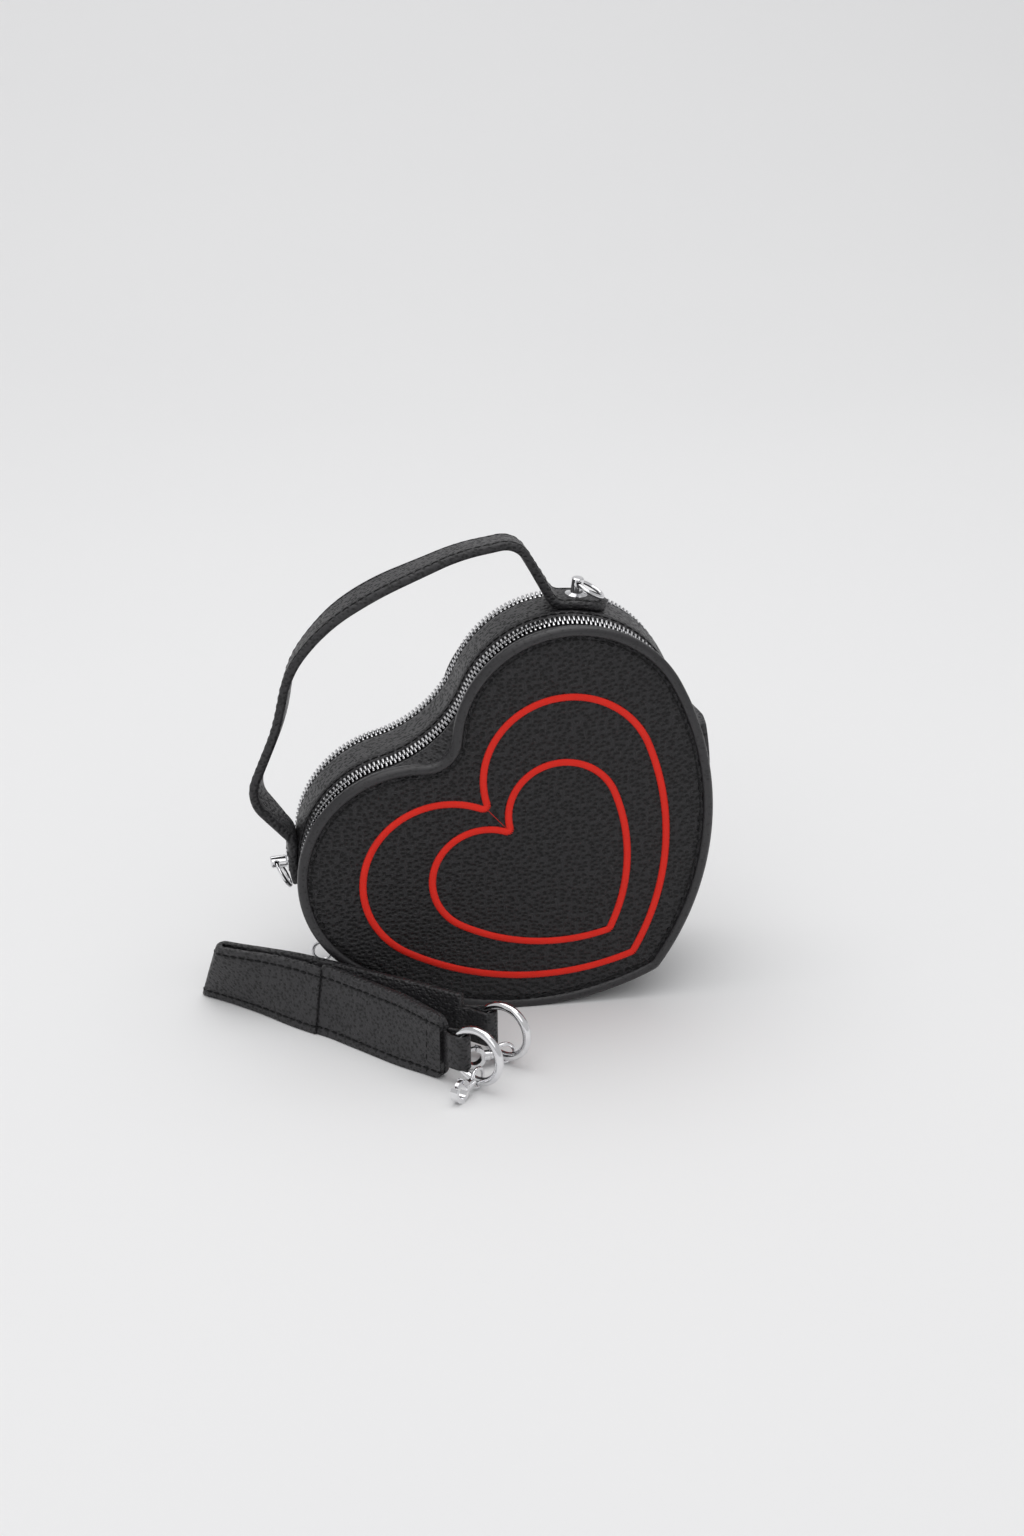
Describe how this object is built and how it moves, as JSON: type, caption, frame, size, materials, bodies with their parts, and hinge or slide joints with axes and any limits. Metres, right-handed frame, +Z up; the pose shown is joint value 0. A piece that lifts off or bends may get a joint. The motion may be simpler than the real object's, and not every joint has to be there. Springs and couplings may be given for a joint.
{
  "type": "heart shaped handbag",
  "caption": "Heart shaped hard-sided handbag with zip compartments, a top handle on metal posts, embroidered heart outlines and a loose carry strap with ring and clasp ends.",
  "frame": {"origin": "middle of the whole object's bounding box, at the level of the table it stands on", "axes": "X to the right seen from the front, Y from the front to the back, Z up"},
  "size_m": [0.2258, 0.1636, 0.213],
  "materials": {
    "black_leather": "fine pebble grain",
    "lining": "plain weave over board",
    "zip_tape": "woven tape",
    "red_thread": "satin stitch",
    "polished_metal": "bright nickel plate"
  },
  "bodies": {
    "bag": {"front_rim": "black_leather", "back_rim": "black_leather", "front_panel": "black_leather", "back_panel": "black_leather", "front_board": "lining", "back_board": "lining", "front_lining": "lining", "back_lining": "lining", "front_gusset_strip": "black_leather", "back_gusset_strip": "black_leather", "front_zip_outer_tape": "zip_tape", "back_zip_outer_tape": "zip_tape", "front_zip_inner_tape": "zip_tape", "back_zip_inner_tape": "zip_tape", "front_zip_outer_teeth": "polished_metal", "back_zip_outer_teeth": "polished_metal", "front_zip_inner_teeth": "polished_metal", "back_zip_inner_teeth": "polished_metal", "front_zip_stops": "polished_metal", "back_zip_stops": "polished_metal", "outer_heart_embroidery": "red_thread", "inner_heart_embroidery": "red_thread", "right_post": "polished_metal", "right_post_screw": "polished_metal", "right_post_washer": "polished_metal", "left_post": "polished_metal", "left_post_screw": "polished_metal", "left_post_washer": "polished_metal", "handle": "black_leather", "centre_strip": "black_leather", "divider": "lining", "lower_gusset": "black_leather"},
    "strap": {"strap_body": "black_leather", "strap_facing": "black_leather", "near_end_loop": "black_leather", "far_end_loop": "black_leather"},
    "front_slider": {"front_zip_slider": "polished_metal"},
    "front_pull": {"front_zip_pull": "polished_metal"},
    "back_slider": {"back_zip_slider": "polished_metal"},
    "back_pull": {"back_zip_pull": "polished_metal"},
    "right_ring": {"right_post_ring": "polished_metal"},
    "left_ring": {"left_post_ring": "polished_metal"},
    "near_o_ring": {"near_strap_ring": "polished_metal"},
    "near_eye": {"near_clasp_eye": "polished_metal"},
    "near_hook": {"near_clasp_hook": "polished_metal"},
    "near_trigger": {"near_clasp_trigger": "polished_metal"},
    "far_o_ring": {"far_strap_ring": "polished_metal"},
    "far_eye": {"far_clasp_eye": "polished_metal"},
    "far_hook": {"far_clasp_hook": "polished_metal"},
    "far_trigger": {"far_clasp_trigger": "polished_metal"}
  },
  "joints": [
    {"name": "front_slider_travel", "type": "hinge", "parent": "bag", "child": "front_slider", "pos_m": [-0.01951, 0.02677, 0.06773], "axis": [0, 1, 0], "range_deg": [0, 118]},
    {"name": "front_pull_swing", "type": "hinge", "parent": "front_slider", "child": "front_pull", "pos_m": [-0.04925, 0.02677, 0.02386], "axis": [0.8278, 0, -0.5611], "range_deg": [-70, 70]},
    {"name": "back_slider_travel", "type": "hinge", "parent": "bag", "child": "back_slider", "pos_m": [-0.01951, 0.06177, 0.06773], "axis": [0, 1, 0], "range_deg": [0, 118]},
    {"name": "back_pull_swing", "type": "hinge", "parent": "back_slider", "child": "back_pull", "pos_m": [-0.04925, 0.06177, 0.02386], "axis": [0.8278, 0, -0.5611], "range_deg": [-70, 70]},
    {"name": "right_ring_swing", "type": "hinge", "parent": "bag", "child": "right_ring", "pos_m": [0.05805, 0.04427, 0.18855], "axis": [0, -1, 0], "range_deg": [0, 110]},
    {"name": "left_ring_swing", "type": "hinge", "parent": "bag", "child": "left_ring", "pos_m": [-0.08007, 0.04427, 0.06363], "axis": [0, 1, 0], "range_deg": [0, 110]},
    {"name": "strap_slide", "type": "slide", "parent": "bag", "child": "strap", "axis": [0, -1, 0], "range_m": [0, 0.1]},
    {"name": "near_ring_turn", "type": "hinge", "parent": "strap", "child": "near_o_ring", "pos_m": [-0.0039, -0.0662, 0.0161], "axis": [0.6947, 0.7193, 0], "continuous": true},
    {"name": "near_clasp_lift", "type": "hinge", "parent": "strap", "child": "near_eye", "pos_m": [-0.0039, -0.0662, 0.0041], "axis": [-0.7193, 0.6947, 0], "range_deg": [0, 16]},
    {"name": "near_clasp_swivel", "type": "hinge", "parent": "near_eye", "child": "near_hook", "pos_m": [-0.0039, -0.0662, 0.0053], "axis": [-0.6428, -0.766, 0], "continuous": true},
    {"name": "near_trigger_press", "type": "hinge", "parent": "near_hook", "child": "near_trigger", "pos_m": [-0.01169, -0.07549, 0.00919], "axis": [0.766, -0.6428, 0], "range_deg": [0, 25], "stiffness_Nm_per_rad": 0.002},
    {"name": "far_ring_turn", "type": "hinge", "parent": "strap", "child": "far_o_ring", "pos_m": [0.01074, -0.04514, 0.0161], "axis": [0.6691, 0.7431, 0], "continuous": true},
    {"name": "far_clasp_lift", "type": "hinge", "parent": "strap", "child": "far_eye", "pos_m": [0.01074, -0.04514, 0.0041], "axis": [-0.7431, 0.6691, 0], "range_deg": [0, 16]},
    {"name": "far_clasp_swivel", "type": "hinge", "parent": "far_eye", "child": "far_hook", "pos_m": [0.01074, -0.04514, 0.0053], "axis": [-0.9925, -0.1219, 0], "continuous": true},
    {"name": "far_trigger_press", "type": "hinge", "parent": "far_hook", "child": "far_trigger", "pos_m": [-0.00129, -0.04662, 0.00919], "axis": [0.1219, -0.9925, 0], "range_deg": [0, 25], "stiffness_Nm_per_rad": 0.002}
  ]
}
